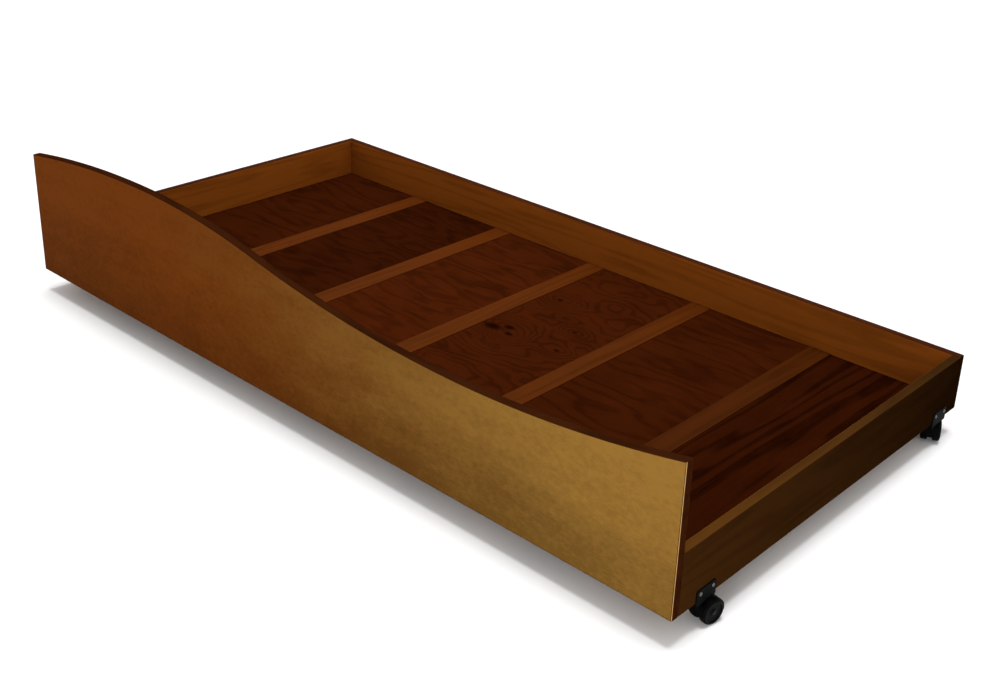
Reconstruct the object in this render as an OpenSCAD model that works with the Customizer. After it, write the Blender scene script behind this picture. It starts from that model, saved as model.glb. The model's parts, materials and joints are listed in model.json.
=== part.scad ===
// Trundle bed: a shallow bed frame on four swivel casters that rolls out from under a bed.
// Origin on the floor at the middle of the bed. +X runs along the length, the tall shaped
// front panel faces -Y and +Z is up.

/* [Bed] */
// Overall length, over the two end boards
bed_l = 1953; // [1500:1:2300]
// Overall depth, from the front panel's face to the back rail's outer face
bed_w = 1018; // [760:1:1400]
// Thickness of the front panel, the back rail and the end boards
board_t = 19; // [17:0.5:25]
// Height of the back rail and the end boards
rail_h = 127; // [100:1:180]

/* [Front panel] */
// Height of the front panel at its two ends
panel_h = 304; // [240:1:420]
// Rise of the crest above the ends
crest_rise = 38; // [15:1:60]
// Drop of the dip below the ends
dip_drop = 57; // [15:1:70]
// Distance from the left end to the top of the crest
crest_in = 470; // [300:1:560]
// Distance from the right end to the bottom of the dip
dip_in = 523; // [300:1:600]
// Share of the run from crest to dip that belongs to the crest's curve
crest_share = 0.417; // [0.3:0.01:0.7]

/* [Deck] */
// Number of plywood deck panels
deck_panels = 6; // [3:1:7]
// Thickness of a deck panel
ply_t = 6; // [4:0.5:9]
// Width of the slat that shows between two deck panels
slat_w = 53; // [40:1:90]
// Width of the ledge on each side of a slat that a deck panel rests on
ledge_w = 12; // [8:0.5:20]
// How far the slats stand proud of the deck panels
slat_proud = 1.5; // [0:0.5:3]
// Side of the square cleats under the deck's edges
cleat_s = 19; // [16:0.5:24]
// Gap left round each deck panel and at the ends of the cleats
deck_gap = 0.5; // [0.2:0.1:1]

/* [Fixings] */
// Diameter of the dowels that hold the front panel
dowel_d = 8; // [6:1:8]
// Length of a dowel
dowel_l = 30; // [24:1:36]
// Depth of a dowel's hole in the front panel
dowel_in = 11; // [8:0.5:13]
// Height of the upper and lower fixings in an end board
end_fix_z = [32, 95];
// Shank diameter of the wood screws
screw_d = 4.5; // [3.5:0.1:5]
// Head diameter of the countersunk wood screws
screw_head_d = 9; // [7:0.5:10]
// Length of the screws through the back rail
rail_screw_l = 50; // [40:1:60]
// Length of the screws through the cleats
cleat_screw_l = 30; // [26:1:34]
// Distance from the end of a cleat to its screw
cleat_screw_in = 45; // [25:1:60]
// Clearance round a dowel, screw or bush in its hole, on the radius
hole_gap = 0.1; // [0.05:0.05:0.2]

/* [Casters] */
// Distance from the front panel's face to the front casters' stems
front_caster_in = 94; // [60:1:200]
// Distance from the back rail's face to the back casters' stems
back_caster_in = 80; // [60:1:200]
// Diameter of a caster wheel
wheel_d = 48; // [44:1:60]
// Width of one wheel of the pair
wheel_w = 14.5; // [12:0.5:20]
// Wall of the hood
hood_t = 1.4; // [1:0.1:1.6]
// Thickness of the web on each side of the stem
web_side = 1; // [0.8:0.1:3]
// Distance from the stem to the wheels' axle
trail = 18; // [14:0.5:22]
// Diameter of the stem
stem_d = 8; // [6:0.5:8]
// Diameter of the axle
axle_d = 6; // [5:0.5:7]
// Running clearance of the stem and the axle, on the radius
run_gap = 0.05; // [0.02:0.01:0.1]
// Wall of the nylon bush, with the stem's running clearance
bush_wall = 1.5; // [1.2:0.1:2]
// Depth of the bush in the end board's bottom edge
bush_in = 20; // [14:1:24]
// Width of the bracket along the end board
bracket_w = 56; // [50:1:80]
// Height of the bracket's flange on the board's outer face
flange_h = 26; // [24:1:40]
// Thickness of the bracket's flange
flange_t = 2.5; // [2:0.5:4]
// Thickness of the bracket's shelf under the board
shelf_t = 5; // [3:0.5:8]
// Distance between the bracket's two screws
bracket_pitch = 36; // [32:1:56]
// Height of the bracket's screws above the board's bottom edge
bracket_screw_z = 17.5; // [12:0.5:20]

/* [Hidden] */
$fn = 96;
wave_steps = 96;       // flat steps along the front panel's wave
eps = 1;               // how far a cut runs past the face that it opens
wheel_r = wheel_d / 2;
cavity_gap = 0.6;      // between the wheels and the hood
hood_r = wheel_r + cavity_gap + hood_t;
web_t = stem_d + 2 * web_side;      // the web between the two wheels holds the stem
bush_d = stem_d + 2 * bush_wall;
swivel_gap = 0.5;      // between a caster's boss and its bracket
boss_rise = 1.5;       // the boss above the top of the hood
board_z = wheel_r + hood_r + boss_rise + swivel_gap + shelf_t;
inner_l = bed_l - 2 * board_t;
inner_w = bed_w - 2 * board_t;
front_y = -bed_w / 2 + board_t;     // inner face of the front panel
back_y = bed_w / 2 - board_t;       // inner face of the back rail
ply_w = (inner_l - (deck_panels - 1) * slat_w) / deck_panels;
deck_z = board_z + cleat_s + ply_t;
slat_mid_z = board_z + cleat_s / 2;
slat_fix = slat_w / 2;              // distance between a slat's two fixings
stem_in = board_t / 2;              // from the end board's outer face

crest_z = panel_h + crest_rise;
dip_z = panel_h - dip_drop;
crest_x = crest_in;
dip_x = bed_l - dip_in;
turn_x = crest_x + crest_share * (dip_x - crest_x);
turn_radii = (pow(dip_x - crest_x, 2) + pow(crest_z - dip_z, 2)) / (2 * (crest_z - dip_z));
left_r = (pow(crest_in, 2) + pow(crest_rise, 2)) / (2 * crest_rise);
crest_r = crest_share * turn_radii;
dip_r = turn_radii - crest_r;
right_r = (pow(dip_in, 2) + pow(dip_drop, 2)) / (2 * dip_drop);

bush_collar = shelf_t;              // the bush also fills the shelf's hole
ring_d = stem_d + 2;                // snap ring that keeps the stem in its bush
ring_t = 1;
ring_gap = 0.3;
ring_room = 1;                      // space above the ring in the board's bore
foot_gap = 1.5;                     // between the axle and the foot of the stem
stem_foot_z = wheel_r + axle_d / 2 + foot_gap;
boss_wall = 3.5;
boss_d = stem_d + 2 * boss_wall;
boss_top_z = board_z - shelf_t - swivel_gap;
skirt_drop = 4;                     // the hood's lower edge is this far below the axle
web_in = 5;                         // the web's lower half, in from the tread
web_r = wheel_r - web_in;
wheel_gap = 0.5;                    // between a wheel and the web
chamfer = 2;
dish = 2.5;                         // depth of the recess in a wheel's outer face
tread_edge = 1;                     // chamfer of a wheel's inner edge
rim_in = 4;                         // the recess starts this far in from the tread
rim_slope = 1;
hub_wall = 3.5;
hub_r = axle_d / 2 + hub_wall;
hub_in = 2;                         // the hub's face, in from the wheel's outer face
cap_lip = 1.5;
cap_r = axle_d / 2 + cap_lip;
cap_t = 1.4;
cap_gap = 0.3;
corner_r = 4;
pan_d = 7;
pan_top_d = 4.9;
pan_t = 2.2;
bracket_screw_d = 3.5;
bracket_screw_l = 14;
head_sink = 0.3;                    // a countersunk head lies this far below the wood

// Each caster: name, side along X, side along Y, angle that its wheels have swivelled
CASTERS = [
    ["front_right", 1, -1, -10],
    ["back_right", 1, 1, 27],
    ["front_left", -1, -1, 6],
    ["back_left", -1, 1, -14]
];
CASTER_PARTS = ["bracket", "bush", "bracket_screws", "stem", "hood", "axle", "inner_wheel", "outer_wheel"];

function ply_x(i) = -inner_l / 2 + (i - 1) * (ply_w + slat_w);     // left edge of deck panel i
function slat_x(i) = ply_x(i + 1) - slat_w / 2;                     // middle of slat i
function caster_x(side) = side * (bed_l / 2 - stem_in);
function caster_y(side) = side < 0 ? -bed_w / 2 + front_caster_in : bed_w / 2 - back_caster_in;
// A cleat segment lies between the slats' ledges, and the outer two stop at the end cleats
function seg_x0(i) = deck_gap +
    (i == 1 ? -inner_l / 2 + cleat_s : slat_x(i - 1) + slat_w / 2 + ledge_w);
function seg_x1(i) = -deck_gap +
    (i == deck_panels ? inner_l / 2 - cleat_s : slat_x(i) - slat_w / 2 - ledge_w);

// ---- Boards ----

// Height of an arc at a distance dx from its top (up = 1) or its bottom (up = -1)
function arc_z(dx, end_z, r, up) = end_z - up * (r - sqrt(r * r - dx * dx));

// Height of the front panel's top edge: four arcs that meet smoothly
function wave_z(x) =
    x < crest_x ? arc_z(x - crest_x, crest_z, left_r, 1) :
    x < turn_x ? arc_z(x - crest_x, crest_z, crest_r, 1) :
    x < dip_x ? arc_z(x - dip_x, dip_z, dip_r, -1) :
    arc_z(x - dip_x, dip_z, right_r, -1);

// The front panel's outline: the wave over a straight bottom edge
module panel_profile() {
    polygon(concat(
        [[0, 0]],
        [for (k = [0 : wave_steps]) [k * bed_l / wave_steps, wave_z(k * bed_l / wave_steps)]],
        [[bed_l, 0]]
    ));
}

module along_y(d, y0, y1) {
    translate([0, y0, 0]) rotate([-90, 0, 0]) cylinder(d = d, h = y1 - y0);
}

// Countersunk screw along +Y with its head's face at the origin
module wood_screw(length, gap = 0) {
    head_t = (screw_head_d - screw_d) / 2;
    rotate([-90, 0, 0]) {
        cylinder(d = screw_d + 2 * gap, h = length + gap);
        cylinder(d1 = screw_head_d + 2 * gap, d2 = screw_d + 2 * gap, h = head_t);
    }
}

// Where the boards' fixings stand, looking at the front or the back
module at_end_fixings(side) {
    for (z = end_fix_z) translate([side * (bed_l - board_t) / 2, 0, board_z + z]) children();
}

module at_slat_fixings(i) {
    for (s = [-1, 1]) translate([slat_x(i) + s * slat_fix / 2, 0, slat_mid_z]) children();
}

module at_all_fixings() {
    for (side = [-1, 1]) at_end_fixings(side) children();
    for (i = [1 : deck_panels - 1]) at_slat_fixings(i) children();
}

module dowel_hole() {
    along_y(dowel_d + 2 * hole_gap, front_y - dowel_in - hole_gap, front_y - dowel_in + dowel_l + hole_gap);
}

module rail_screw_hole() {
    translate([0, bed_w / 2 - head_sink, 0]) rotate([0, 0, 180]) wood_screw(rail_screw_l, hole_gap);
    along_y(screw_head_d + 2 * hole_gap, bed_w / 2 - head_sink, bed_w / 2 + eps);
}

// Stands at each cleat screw, turned so that +Y runs into the board
module at_rail_cleat_screws(side) {
    for (i = [1 : deck_panels]) for (x = [seg_x0(i) + cleat_screw_in, seg_x1(i) - cleat_screw_in])
        translate([x, side * (inner_w / 2 - cleat_s), slat_mid_z])
            rotate([0, 0, side > 0 ? 0 : 180]) children();
}

module at_end_cleat_screws(side) {
    for (y = [-1, 0, 1] * (inner_w / 2 - cleat_screw_in))
        translate([side * (inner_l / 2 - cleat_s), y, slat_mid_z])
            rotate([0, 0, side > 0 ? -90 : 90]) children();
}

module cleat_screw_hole() {
    translate([0, head_sink, 0]) wood_screw(cleat_screw_l, hole_gap);
    along_y(screw_head_d + 2 * hole_gap, -eps, head_sink);
}

module front_panel() {
    color("#8a5a20") difference() {
        translate([-bed_l / 2, front_y, board_z]) rotate([90, 0, 0])
            linear_extrude(board_t) panel_profile();
        at_all_fixings() dowel_hole();
        at_rail_cleat_screws(-1) cleat_screw_hole();
    }
}

module back_rail() {
    color("#5e2f0b") difference() {
        translate([-bed_l / 2, back_y, board_z]) cube([bed_l, board_t, rail_h]);
        at_all_fixings() rail_screw_hole();
        at_rail_cleat_screws(1) cleat_screw_hole();
    }
}

// An end board is held between the front panel and the back rail
module end_board(side) {
    color("#4a1d08") difference() {
        translate([side > 0 ? inner_l / 2 : -bed_l / 2, front_y, board_z]) cube([board_t, inner_w, rail_h]);
        at_end_fixings(side) {
            dowel_hole();
            rail_screw_hole();
        }
        at_end_cleat_screws(side) cleat_screw_hole();
        for (c = CASTERS) if (c[1] == side) at_caster(c) {
            translate([0, 0, board_z - eps])
                cylinder(d = bush_d + 2 * hole_gap, h = eps + bush_in + ring_gap + ring_t + ring_room);
            bracket_facing(side) at_bracket_screws() along_x_screw(hole_gap);
        }
    }
}

// ---- Deck ----

module deck_panel(i) {
    color("#3c1505")
        translate([ply_x(i) + deck_gap, front_y + deck_gap, board_z + cleat_s])
            cube([ply_w - 2 * deck_gap, inner_w - 2 * deck_gap, ply_t]);
}

// A slat spans from front to back, with a ledge along each side for the deck panels
module slat(i) {
    color("#5a2b10") difference() {
        union() {
            translate([slat_x(i) - slat_w / 2, front_y, board_z])
                cube([slat_w, inner_w, cleat_s + ply_t + slat_proud]);
            translate([slat_x(i) - slat_w / 2 - ledge_w, front_y, board_z])
                cube([slat_w + 2 * ledge_w, inner_w, cleat_s]);
        }
        at_slat_fixings(i) {
            dowel_hole();
            rail_screw_hole();
        }
    }
}

module rail_cleats(side) {
    y0 = side > 0 ? back_y - cleat_s : front_y;
    color("#7a5230") difference() {
        for (i = [1 : deck_panels])
            translate([seg_x0(i), y0, board_z]) cube([seg_x1(i) - seg_x0(i), cleat_s, cleat_s]);
        at_rail_cleat_screws(side) cleat_screw_hole();
    }
}

module end_cleat(side) {
    color("#7a5230") difference() {
        translate([side > 0 ? inner_l / 2 - cleat_s : -inner_l / 2, front_y, board_z])
            cube([cleat_s, inner_w, cleat_s]);
        at_end_cleat_screws(side) cleat_screw_hole();
    }
}

// ---- Fixings ----

module front_dowels() {
    color("#c8a068") at_all_fixings() along_y(dowel_d, front_y - dowel_in, front_y - dowel_in + dowel_l);
}

module rail_screws() {
    color("silver") at_all_fixings()
        translate([0, bed_w / 2 - head_sink, 0]) rotate([0, 0, 180]) wood_screw(rail_screw_l);
}

module cleat_screws() {
    color("silver") {
        for (side = [-1, 1]) {
            at_rail_cleat_screws(side) translate([0, head_sink, 0]) wood_screw(cleat_screw_l);
            at_end_cleat_screws(side) translate([0, head_sink, 0]) wood_screw(cleat_screw_l);
        }
    }
}

// ---- Casters, each drawn round its stem's axis with the floor at z = 0 ----

module at_caster(c) {
    translate([caster_x(c[1]), caster_y(c[2]), 0]) children();
}

// Turns the fixed pieces so that +X points out of the end board
module bracket_facing(side) {
    rotate([0, 0, side > 0 ? 0 : 180]) children();
}

// Turns the pieces that swivel, and moves the wheel's centre to the origin
module at_wheel(c) {
    at_caster(c) rotate([0, 0, c[3]]) translate([0, trail, wheel_r]) children();
}

module at_bracket_screws() {
    for (s = [-1, 1])
        translate([stem_in + flange_t, s * bracket_pitch / 2, board_z + bracket_screw_z]) children();
}

// Shank of a bracket screw, from the flange's face into the board
module along_x_screw(gap = 0) {
    rotate([0, -90, 0]) cylinder(d = bracket_screw_d + 2 * gap, h = bracket_screw_l + gap);
}

module rounded_plate(w, h, r) {
    translate([r, 0]) square([w - 2 * r, h]);
    translate([0, r]) square([w, h - 2 * r]);
    for (x = [r, w - r]) for (y = [r, h - r]) translate([x, y]) circle(r = r);
}

// Angle bracket: a flange on the board's outer face and a shelf under the board
module bracket(c) {
    shelf_in = board_t - stem_in;
    color("#141414") at_caster(c) bracket_facing(c[1]) difference() {
        union() {
            translate([stem_in, -bracket_w / 2, board_z - shelf_t]) rotate([90, 0, 90])
                linear_extrude(flange_t) rounded_plate(bracket_w, flange_h + shelf_t, corner_r);
            translate([-shelf_in, -bracket_w / 2 + corner_r, board_z - shelf_t])
                cube([board_t + flange_t / 2, bracket_w - 2 * corner_r, shelf_t]);
        }
        translate([0, 0, board_z - shelf_t - eps])
            cylinder(d = bush_d + 2 * hole_gap, h = shelf_t + 2 * eps);
        at_bracket_screws() translate([eps, 0, 0]) along_x_screw(hole_gap);
    }
}

module bush(c) {
    color("ivory") at_caster(c) difference() {
        translate([0, 0, board_z - bush_collar]) cylinder(d = bush_d, h = bush_collar + bush_in);
        translate([0, 0, board_z - bush_collar - eps])
            cylinder(d = stem_d + 2 * run_gap, h = bush_collar + bush_in + 2 * eps);
    }
}

module bracket_screws(c) {
    color("silver") at_caster(c) bracket_facing(c[1]) at_bracket_screws() {
        along_x_screw();
        rotate([0, 90, 0]) cylinder(d1 = pan_d, d2 = pan_top_d, h = pan_t);
    }
}

module stem(c) {
    ring_z = board_z + bush_in + ring_gap;
    color("silver") at_caster(c) {
        translate([0, 0, stem_foot_z]) cylinder(d = stem_d, h = ring_z + ring_t - stem_foot_z);
        translate([0, 0, ring_z]) cylinder(d = ring_d, h = ring_t);
    }
}

// A disc on the axle, as thick as it is wide across the pair
module on_axle(r, w) {
    rotate([0, 90, 0]) cylinder(r = r, h = w, center = true);
}

module hood(c) {
    cavity_r = wheel_r + cavity_gap;
    pair_w = web_t + 2 * (wheel_gap + wheel_w);
    cover_w = pair_w - 2 * chamfer;
    color("#101010") at_wheel(c) difference() {
        union() {
            // cover over the tread of both wheels, open below
            difference() {
                on_axle(hood_r, cover_w);
                on_axle(cavity_r, cover_w + eps);
                translate([-cover_w, -2 * hood_r, -skirt_drop - 2 * hood_r])
                    cube([2 * cover_w, 4 * hood_r, 2 * hood_r]);
            }
            // web between the wheels
            on_axle(web_r, web_t);
            difference() {
                on_axle(hood_r - hood_t / 2, web_t);
                translate([-web_t, -2 * hood_r, -skirt_drop - 2 * hood_r])
                    cube([2 * web_t, 4 * hood_r, 2 * hood_r]);
            }
            // boss that the stem stands in
            difference() {
                translate([0, -trail, 0]) cylinder(d = boss_d, h = boss_top_z - wheel_r);
                on_axle(cavity_r, cover_w);
            }
        }
        translate([0, -trail, stem_foot_z - wheel_r]) cylinder(d = stem_d, h = hood_r + trail);
        on_axle(axle_d / 2, pair_w);
    }
}

// Turned so that +Z runs out from the web along the axle, towards -X or +X
module facing_out(out) {
    rotate([0, out * 90, 0]) children();
}

module axle(c) {
    hub_face = web_t / 2 + wheel_gap + wheel_w - hub_in + cap_gap;
    color("silver") at_wheel(c) {
        on_axle(axle_d / 2, 2 * hub_face);
        for (out = [-1, 1]) facing_out(out) translate([0, 0, hub_face]) cylinder(r = cap_r, h = cap_t);
    }
}

module wheel(c, out) {
    bore_r = axle_d / 2 + run_gap;
    rim_r = wheel_r - rim_in;
    color("#1c1c1c") at_wheel(c) facing_out(out) translate([0, 0, web_t / 2 + wheel_gap])
        rotate_extrude() polygon([
            [bore_r, 0],
            [wheel_r - tread_edge, 0],
            [wheel_r, tread_edge],
            [wheel_r, wheel_w - chamfer],
            [wheel_r - chamfer, wheel_w],
            [rim_r, wheel_w],
            [rim_r - rim_slope, wheel_w - dish],
            [hub_r, wheel_w - dish],
            [hub_r, wheel_w - hub_in],
            [bore_r, wheel_w - hub_in]
        ]);
}

front_panel();
back_rail();
end_board(-1);  // left_end
end_board(1);  // right_end
for (i = [1 : deck_panels]) deck_panel(i);
for (i = [1 : deck_panels - 1]) slat(i);
rail_cleats(-1);  // front_cleats
rail_cleats(1);  // back_cleats
end_cleat(-1);  // left_cleat
end_cleat(1);  // right_cleat
front_dowels();
rail_screws();
cleat_screws();
for (c = CASTERS) {
    bracket(c);
    bush(c);
    bracket_screws(c);
    stem(c);
    hood(c);
    axle(c);
    wheel(c, -c[1]);
    wheel(c, c[1]);
}
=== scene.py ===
"""Trundle bed: stained boards, plywood deck and twin-wheel casters, built round the fixed frame."""

import json
import math

import bmesh
import bpy
from bpy.props import FloatProperty, FloatVectorProperty, IntProperty, PointerProperty
from mathutils import Matrix, Vector


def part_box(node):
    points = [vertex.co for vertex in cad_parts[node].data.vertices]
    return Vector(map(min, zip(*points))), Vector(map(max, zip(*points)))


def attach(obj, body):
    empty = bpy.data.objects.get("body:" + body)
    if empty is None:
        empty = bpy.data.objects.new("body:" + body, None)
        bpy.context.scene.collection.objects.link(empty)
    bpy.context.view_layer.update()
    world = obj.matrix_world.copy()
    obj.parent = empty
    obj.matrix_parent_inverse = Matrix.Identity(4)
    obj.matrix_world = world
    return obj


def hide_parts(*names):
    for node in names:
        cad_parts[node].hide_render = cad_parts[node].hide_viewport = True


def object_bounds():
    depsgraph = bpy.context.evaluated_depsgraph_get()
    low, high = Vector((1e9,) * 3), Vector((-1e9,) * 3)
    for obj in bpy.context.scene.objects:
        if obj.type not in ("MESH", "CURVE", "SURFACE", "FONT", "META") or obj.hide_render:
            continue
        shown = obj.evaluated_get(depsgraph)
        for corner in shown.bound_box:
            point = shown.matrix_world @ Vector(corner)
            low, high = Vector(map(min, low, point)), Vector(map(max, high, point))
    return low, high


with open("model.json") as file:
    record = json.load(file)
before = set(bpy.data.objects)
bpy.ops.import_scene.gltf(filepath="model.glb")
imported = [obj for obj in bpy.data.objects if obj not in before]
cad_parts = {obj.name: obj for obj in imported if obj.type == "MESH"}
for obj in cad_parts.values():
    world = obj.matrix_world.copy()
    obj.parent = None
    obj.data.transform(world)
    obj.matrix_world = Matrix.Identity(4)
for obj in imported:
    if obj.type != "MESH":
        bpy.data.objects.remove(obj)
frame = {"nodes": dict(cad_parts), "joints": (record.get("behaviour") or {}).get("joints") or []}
CAD_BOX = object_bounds()

bl_info = {
    "name": "Trundle Bed",
    "version": (1, 0, 0),
    "blender": (4, 5, 0),
    "location": "3D View > Sidebar > Trundle Bed",
    "description": "Builds the stained wood, deck and casters of a trundle bed round its frame",
    "category": "Add Mesh",
}

MM = 0.001
CASTERS = ("front_right", "back_right", "front_left", "back_left")
DECK_PANELS = sorted(n for n in frame["nodes"] if n.startswith("deck_panel_"))
SLATS = sorted(n for n in frame["nodes"] if n.startswith("slat_"))
X_AXIS, Y_AXIS, Z_AXIS = Vector((1, 0, 0)), Vector((0, 1, 0)), Vector((0, 0, 1))


def linear(hex_colour):
    """An sRGB hex colour as linear red, green and blue."""
    values = [int(hex_colour[i:i + 2], 16) / 255 for i in (1, 3, 5)]
    return tuple(v / 12.92 if v <= 0.04045 else ((v + 0.055) / 1.055) ** 2.4 for v in values)


def rgba(colour):
    return (*colour, 1.0)


# ---------------------------------------------------------------- properties

def length(name, description, millimetres):
    """A length property with its default in millimetres."""
    return FloatProperty(name=name, description=description, default=millimetres * MM,
                         min=0.0, unit="LENGTH", subtype="DISTANCE", precision=5)


def colour(name, description, hex_colour):
    """A colour property with its default as sRGB hex."""
    return FloatVectorProperty(name=name, description=description, size=3, subtype="COLOR",
                               min=0.0, max=1.0, default=linear(hex_colour))


class TrundleSizes(bpy.types.PropertyGroup):
    board_arris: length("Board arris", "Radius of the rounded edges of the boards", 2.2)
    deck_arris: length("Deck arris", "Radius of the edges of deck panels and slats", 0.6)
    hood_radius: length("Hood radius", "Outer radius of a caster's hood", 26)
    hood_wall: length("Hood wall", "Thickness of a caster's hood", 1.4)
    web: length("Web", "Thickness of the web between a caster's wheels", 10)
    wheel_side_gap: length("Wheel side gap", "Gap between a wheel and the web", 0.5)
    skirt_drop: length("Skirt drop", "How far the hood comes down below the axle", 4)
    boss: length("Boss", "Diameter of the boss that the stem stands in", 15)
    axle: length("Axle", "Diameter of the axle", 6)
    screw_head: length("Screw head", "Diameter of a bracket screw's head", 7)
    rail_screw_head: length("Rail screw head", "Diameter of a countersunk head", 9)
    spin_steps: IntProperty(name="Spin steps", description="Faces round a turned piece", default=64, min=16)


class TrundleColours(bpy.types.PropertyGroup):
    # the two veneer tones are partly the stain's own colour and partly painted light and shade: the golden one is
    # brightened for the light on the right end, the red one is darker for the shaded left end
    veneer_gold_painted_light: colour("Veneer, golden", "Front panel veneer where the stain is thin", "#795825")
    veneer_red_painted_shade: colour("Veneer, red", "Front panel veneer where the stain is heavy", "#5d2d07")
    edge: colour("Panel edge", "Dark stained edge of the front panel", "#321607")
    board: colour("Boards", "Back rail and end boards", "#8b4a15")
    # painted shade: the right end's outer face is given a dark tone for the shade it stands in
    outer_board_painted_shade: colour("Outer board", "Outer face of the right end board", "#261405")
    top_edge: colour("Top edges", "Dark stained top edges of the rail and left end", "#3e1b08")
    # the right end's top edge, lighter than the other top edges; painted shade darkens it towards the back
    right_top_edge: colour("Worn edge", "Top edge of the right end board and rubbed arris", "#50300e")
    deck: colour("Deck", "Plywood deck panels", "#371404")
    slat: colour("Slats", "Slats between the deck panels", "#542708")
    caster: colour("Caster", "Moulded nylon of the casters", "#040404")
    floor: colour("Floor", "Studio floor", "#fafafa")


def sizes():
    return bpy.context.scene.trundle_sizes


def colours():
    return bpy.context.scene.trundle_colours


# ---------------------------------------------------------------- materials

def new_material(name):
    """An empty node material with a Principled shader wired to its output."""
    material = bpy.data.materials.new(name)
    material.use_nodes = True
    material.node_tree.nodes.clear()
    shader = add(material, "ShaderNodeBsdfPrincipled")
    add(material, "ShaderNodeOutputMaterial", {"Surface": shader.outputs[0]})
    return material, shader


def add(material, kind, links=None, stops=None, **settings):
    """Adds a node. Settings are its properties, links its inputs' values or the outputs that feed them."""
    tree = material.node_tree
    node = tree.nodes.new(kind)
    for key, value in settings.items():
        setattr(node, key, value)
    for socket, value in (links or {}).items():
        if isinstance(value, bpy.types.NodeSocket):
            tree.links.new(value, node.inputs[socket])
        else:
            node.inputs[socket].default_value = value
    if stops:
        ramp = node.color_ramp.elements
        while len(ramp) < len(stops):
            ramp.new(0.5)
        for element, (position, tone) in zip(ramp, stops):
            element.position = position
            element.color = rgba(tone)
    return node


def plug(material, shader, **sockets):
    """Wires outputs to the shader, or sets its sockets, by name with underscores for spaces."""
    for name, value in sockets.items():
        socket = shader.inputs[name.replace("_", " ")]
        if isinstance(value, bpy.types.NodeSocket):
            material.node_tree.links.new(value, socket)
        else:
            socket.default_value = value


def shade(tone, factor):
    return tuple(min(1.0, c * factor) for c in tone)


def wood_figure(material, along, ring, size, lines, stretch, fibre, seed, knots=()):
    """Growth-ring lines, fibre and mottle of a sawn, sliced or peeled board, each from 0 to 1.

    along is the grain's axis. ring is the spacing of straight lines, size how wide the swirls are
    that the saw or the knife opened, and lines how many rings a swirl holds. stretch is how much
    shorter a swirl is measured along the grain, and fibre the width of a fibre streak.
    Each knot is (x, y, radius), with rings of its own.
    """
    place = add(material, "ShaderNodeTexCoord").outputs["Object"]
    turn = math.pi / 2 if along == "Y" else 0.0
    turned = add(material, "ShaderNodeMapping",
                 {"Vector": place, "Rotation": (0, 0, turn), "Location": (seed, seed * 0.7, seed * 0.3)}).outputs[0]
    # three patterns drawn out along the grain, each by its own share
    swirled, straight, clouded = (
        add(material, "ShaderNodeMapping", {"Vector": turned, "Scale": (share, 1, 1)}).outputs[0]
        for share in (stretch, 0.04, 0.4))
    swirl = add(material, "ShaderNodeTexNoise",
                {"Vector": swirled, "Scale": 1 / size, "Detail": 2.0, "Roughness": 0.42})
    phase = add(material, "ShaderNodeMath", {0: swirl.outputs["Fac"], 1: lines * 2 * math.pi},
                operation="MULTIPLY").outputs[0]
    core = None
    for x, y, radius in knots:
        away = add(material, "ShaderNodeVectorMath", {0: place, 1: (x, y, 0)}, operation="SUBTRACT").outputs[0]
        squeezed = add(material, "ShaderNodeVectorMath", {0: away, 1: (0.6, 1, 0)}, operation="MULTIPLY").outputs[0]
        distance = add(material, "ShaderNodeVectorMath", {0: squeezed}, operation="LENGTH").outputs["Value"]
        rings = add(material, "ShaderNodeMapRange", {0: distance, 1: 0.0, 2: radius * 9, 3: 20.0, 4: 0.0},
                    interpolation_type="SMOOTHERSTEP").outputs[0]
        dark = add(material, "ShaderNodeMapRange", {0: distance, 1: radius * 0.3, 2: radius * 1.3, 3: 1.0, 4: 0.0},
                   interpolation_type="SMOOTHSTEP").outputs[0]
        phase = add(material, "ShaderNodeMath", {0: phase, 1: rings}, operation="ADD").outputs[0]
        core = dark if core is None else add(
            material, "ShaderNodeMath", {0: core, 1: dark}, operation="MAXIMUM").outputs[0]
    # the band pattern repeats every 0.1 pi over its scale
    bands = add(material, "ShaderNodeTexWave",
                {"Vector": swirled, "Scale": 0.1 * math.pi / ring, "Distortion": 0.0, "Phase Offset": phase},
                wave_type="BANDS", bands_direction="Y", wave_profile="SIN")
    # late wood is a narrow dark line in each ring
    late = add(material, "ShaderNodeMapRange", {0: bands.outputs["Fac"], 1: 0.0, 2: 0.6, 3: 0.0, 4: 1.0},
               interpolation_type="SMOOTHSTEP").outputs[0]
    fibres = add(material, "ShaderNodeTexNoise",
                 {"Vector": straight, "Scale": 1 / fibre, "Detail": 3.0, "Roughness": 0.6})
    mottle = add(material, "ShaderNodeTexNoise",
                 {"Vector": clouded, "Scale": 1 / (55 * MM), "Detail": 4.0, "Roughness": 0.6})
    return late, fibres.outputs["Fac"], mottle.outputs["Fac"], core


def blend_figure(material, parts, level=0.5):
    """Adds the figure's parts, each (value, weight), round a middle level."""
    total = level - sum(weight for _, weight in parts) / 2
    for value, weight in parts:
        total = add(material, "ShaderNodeMath", {0: value, 1: weight, 2: total},
                    operation="MULTIPLY_ADD").outputs[0]
    return total


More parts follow.
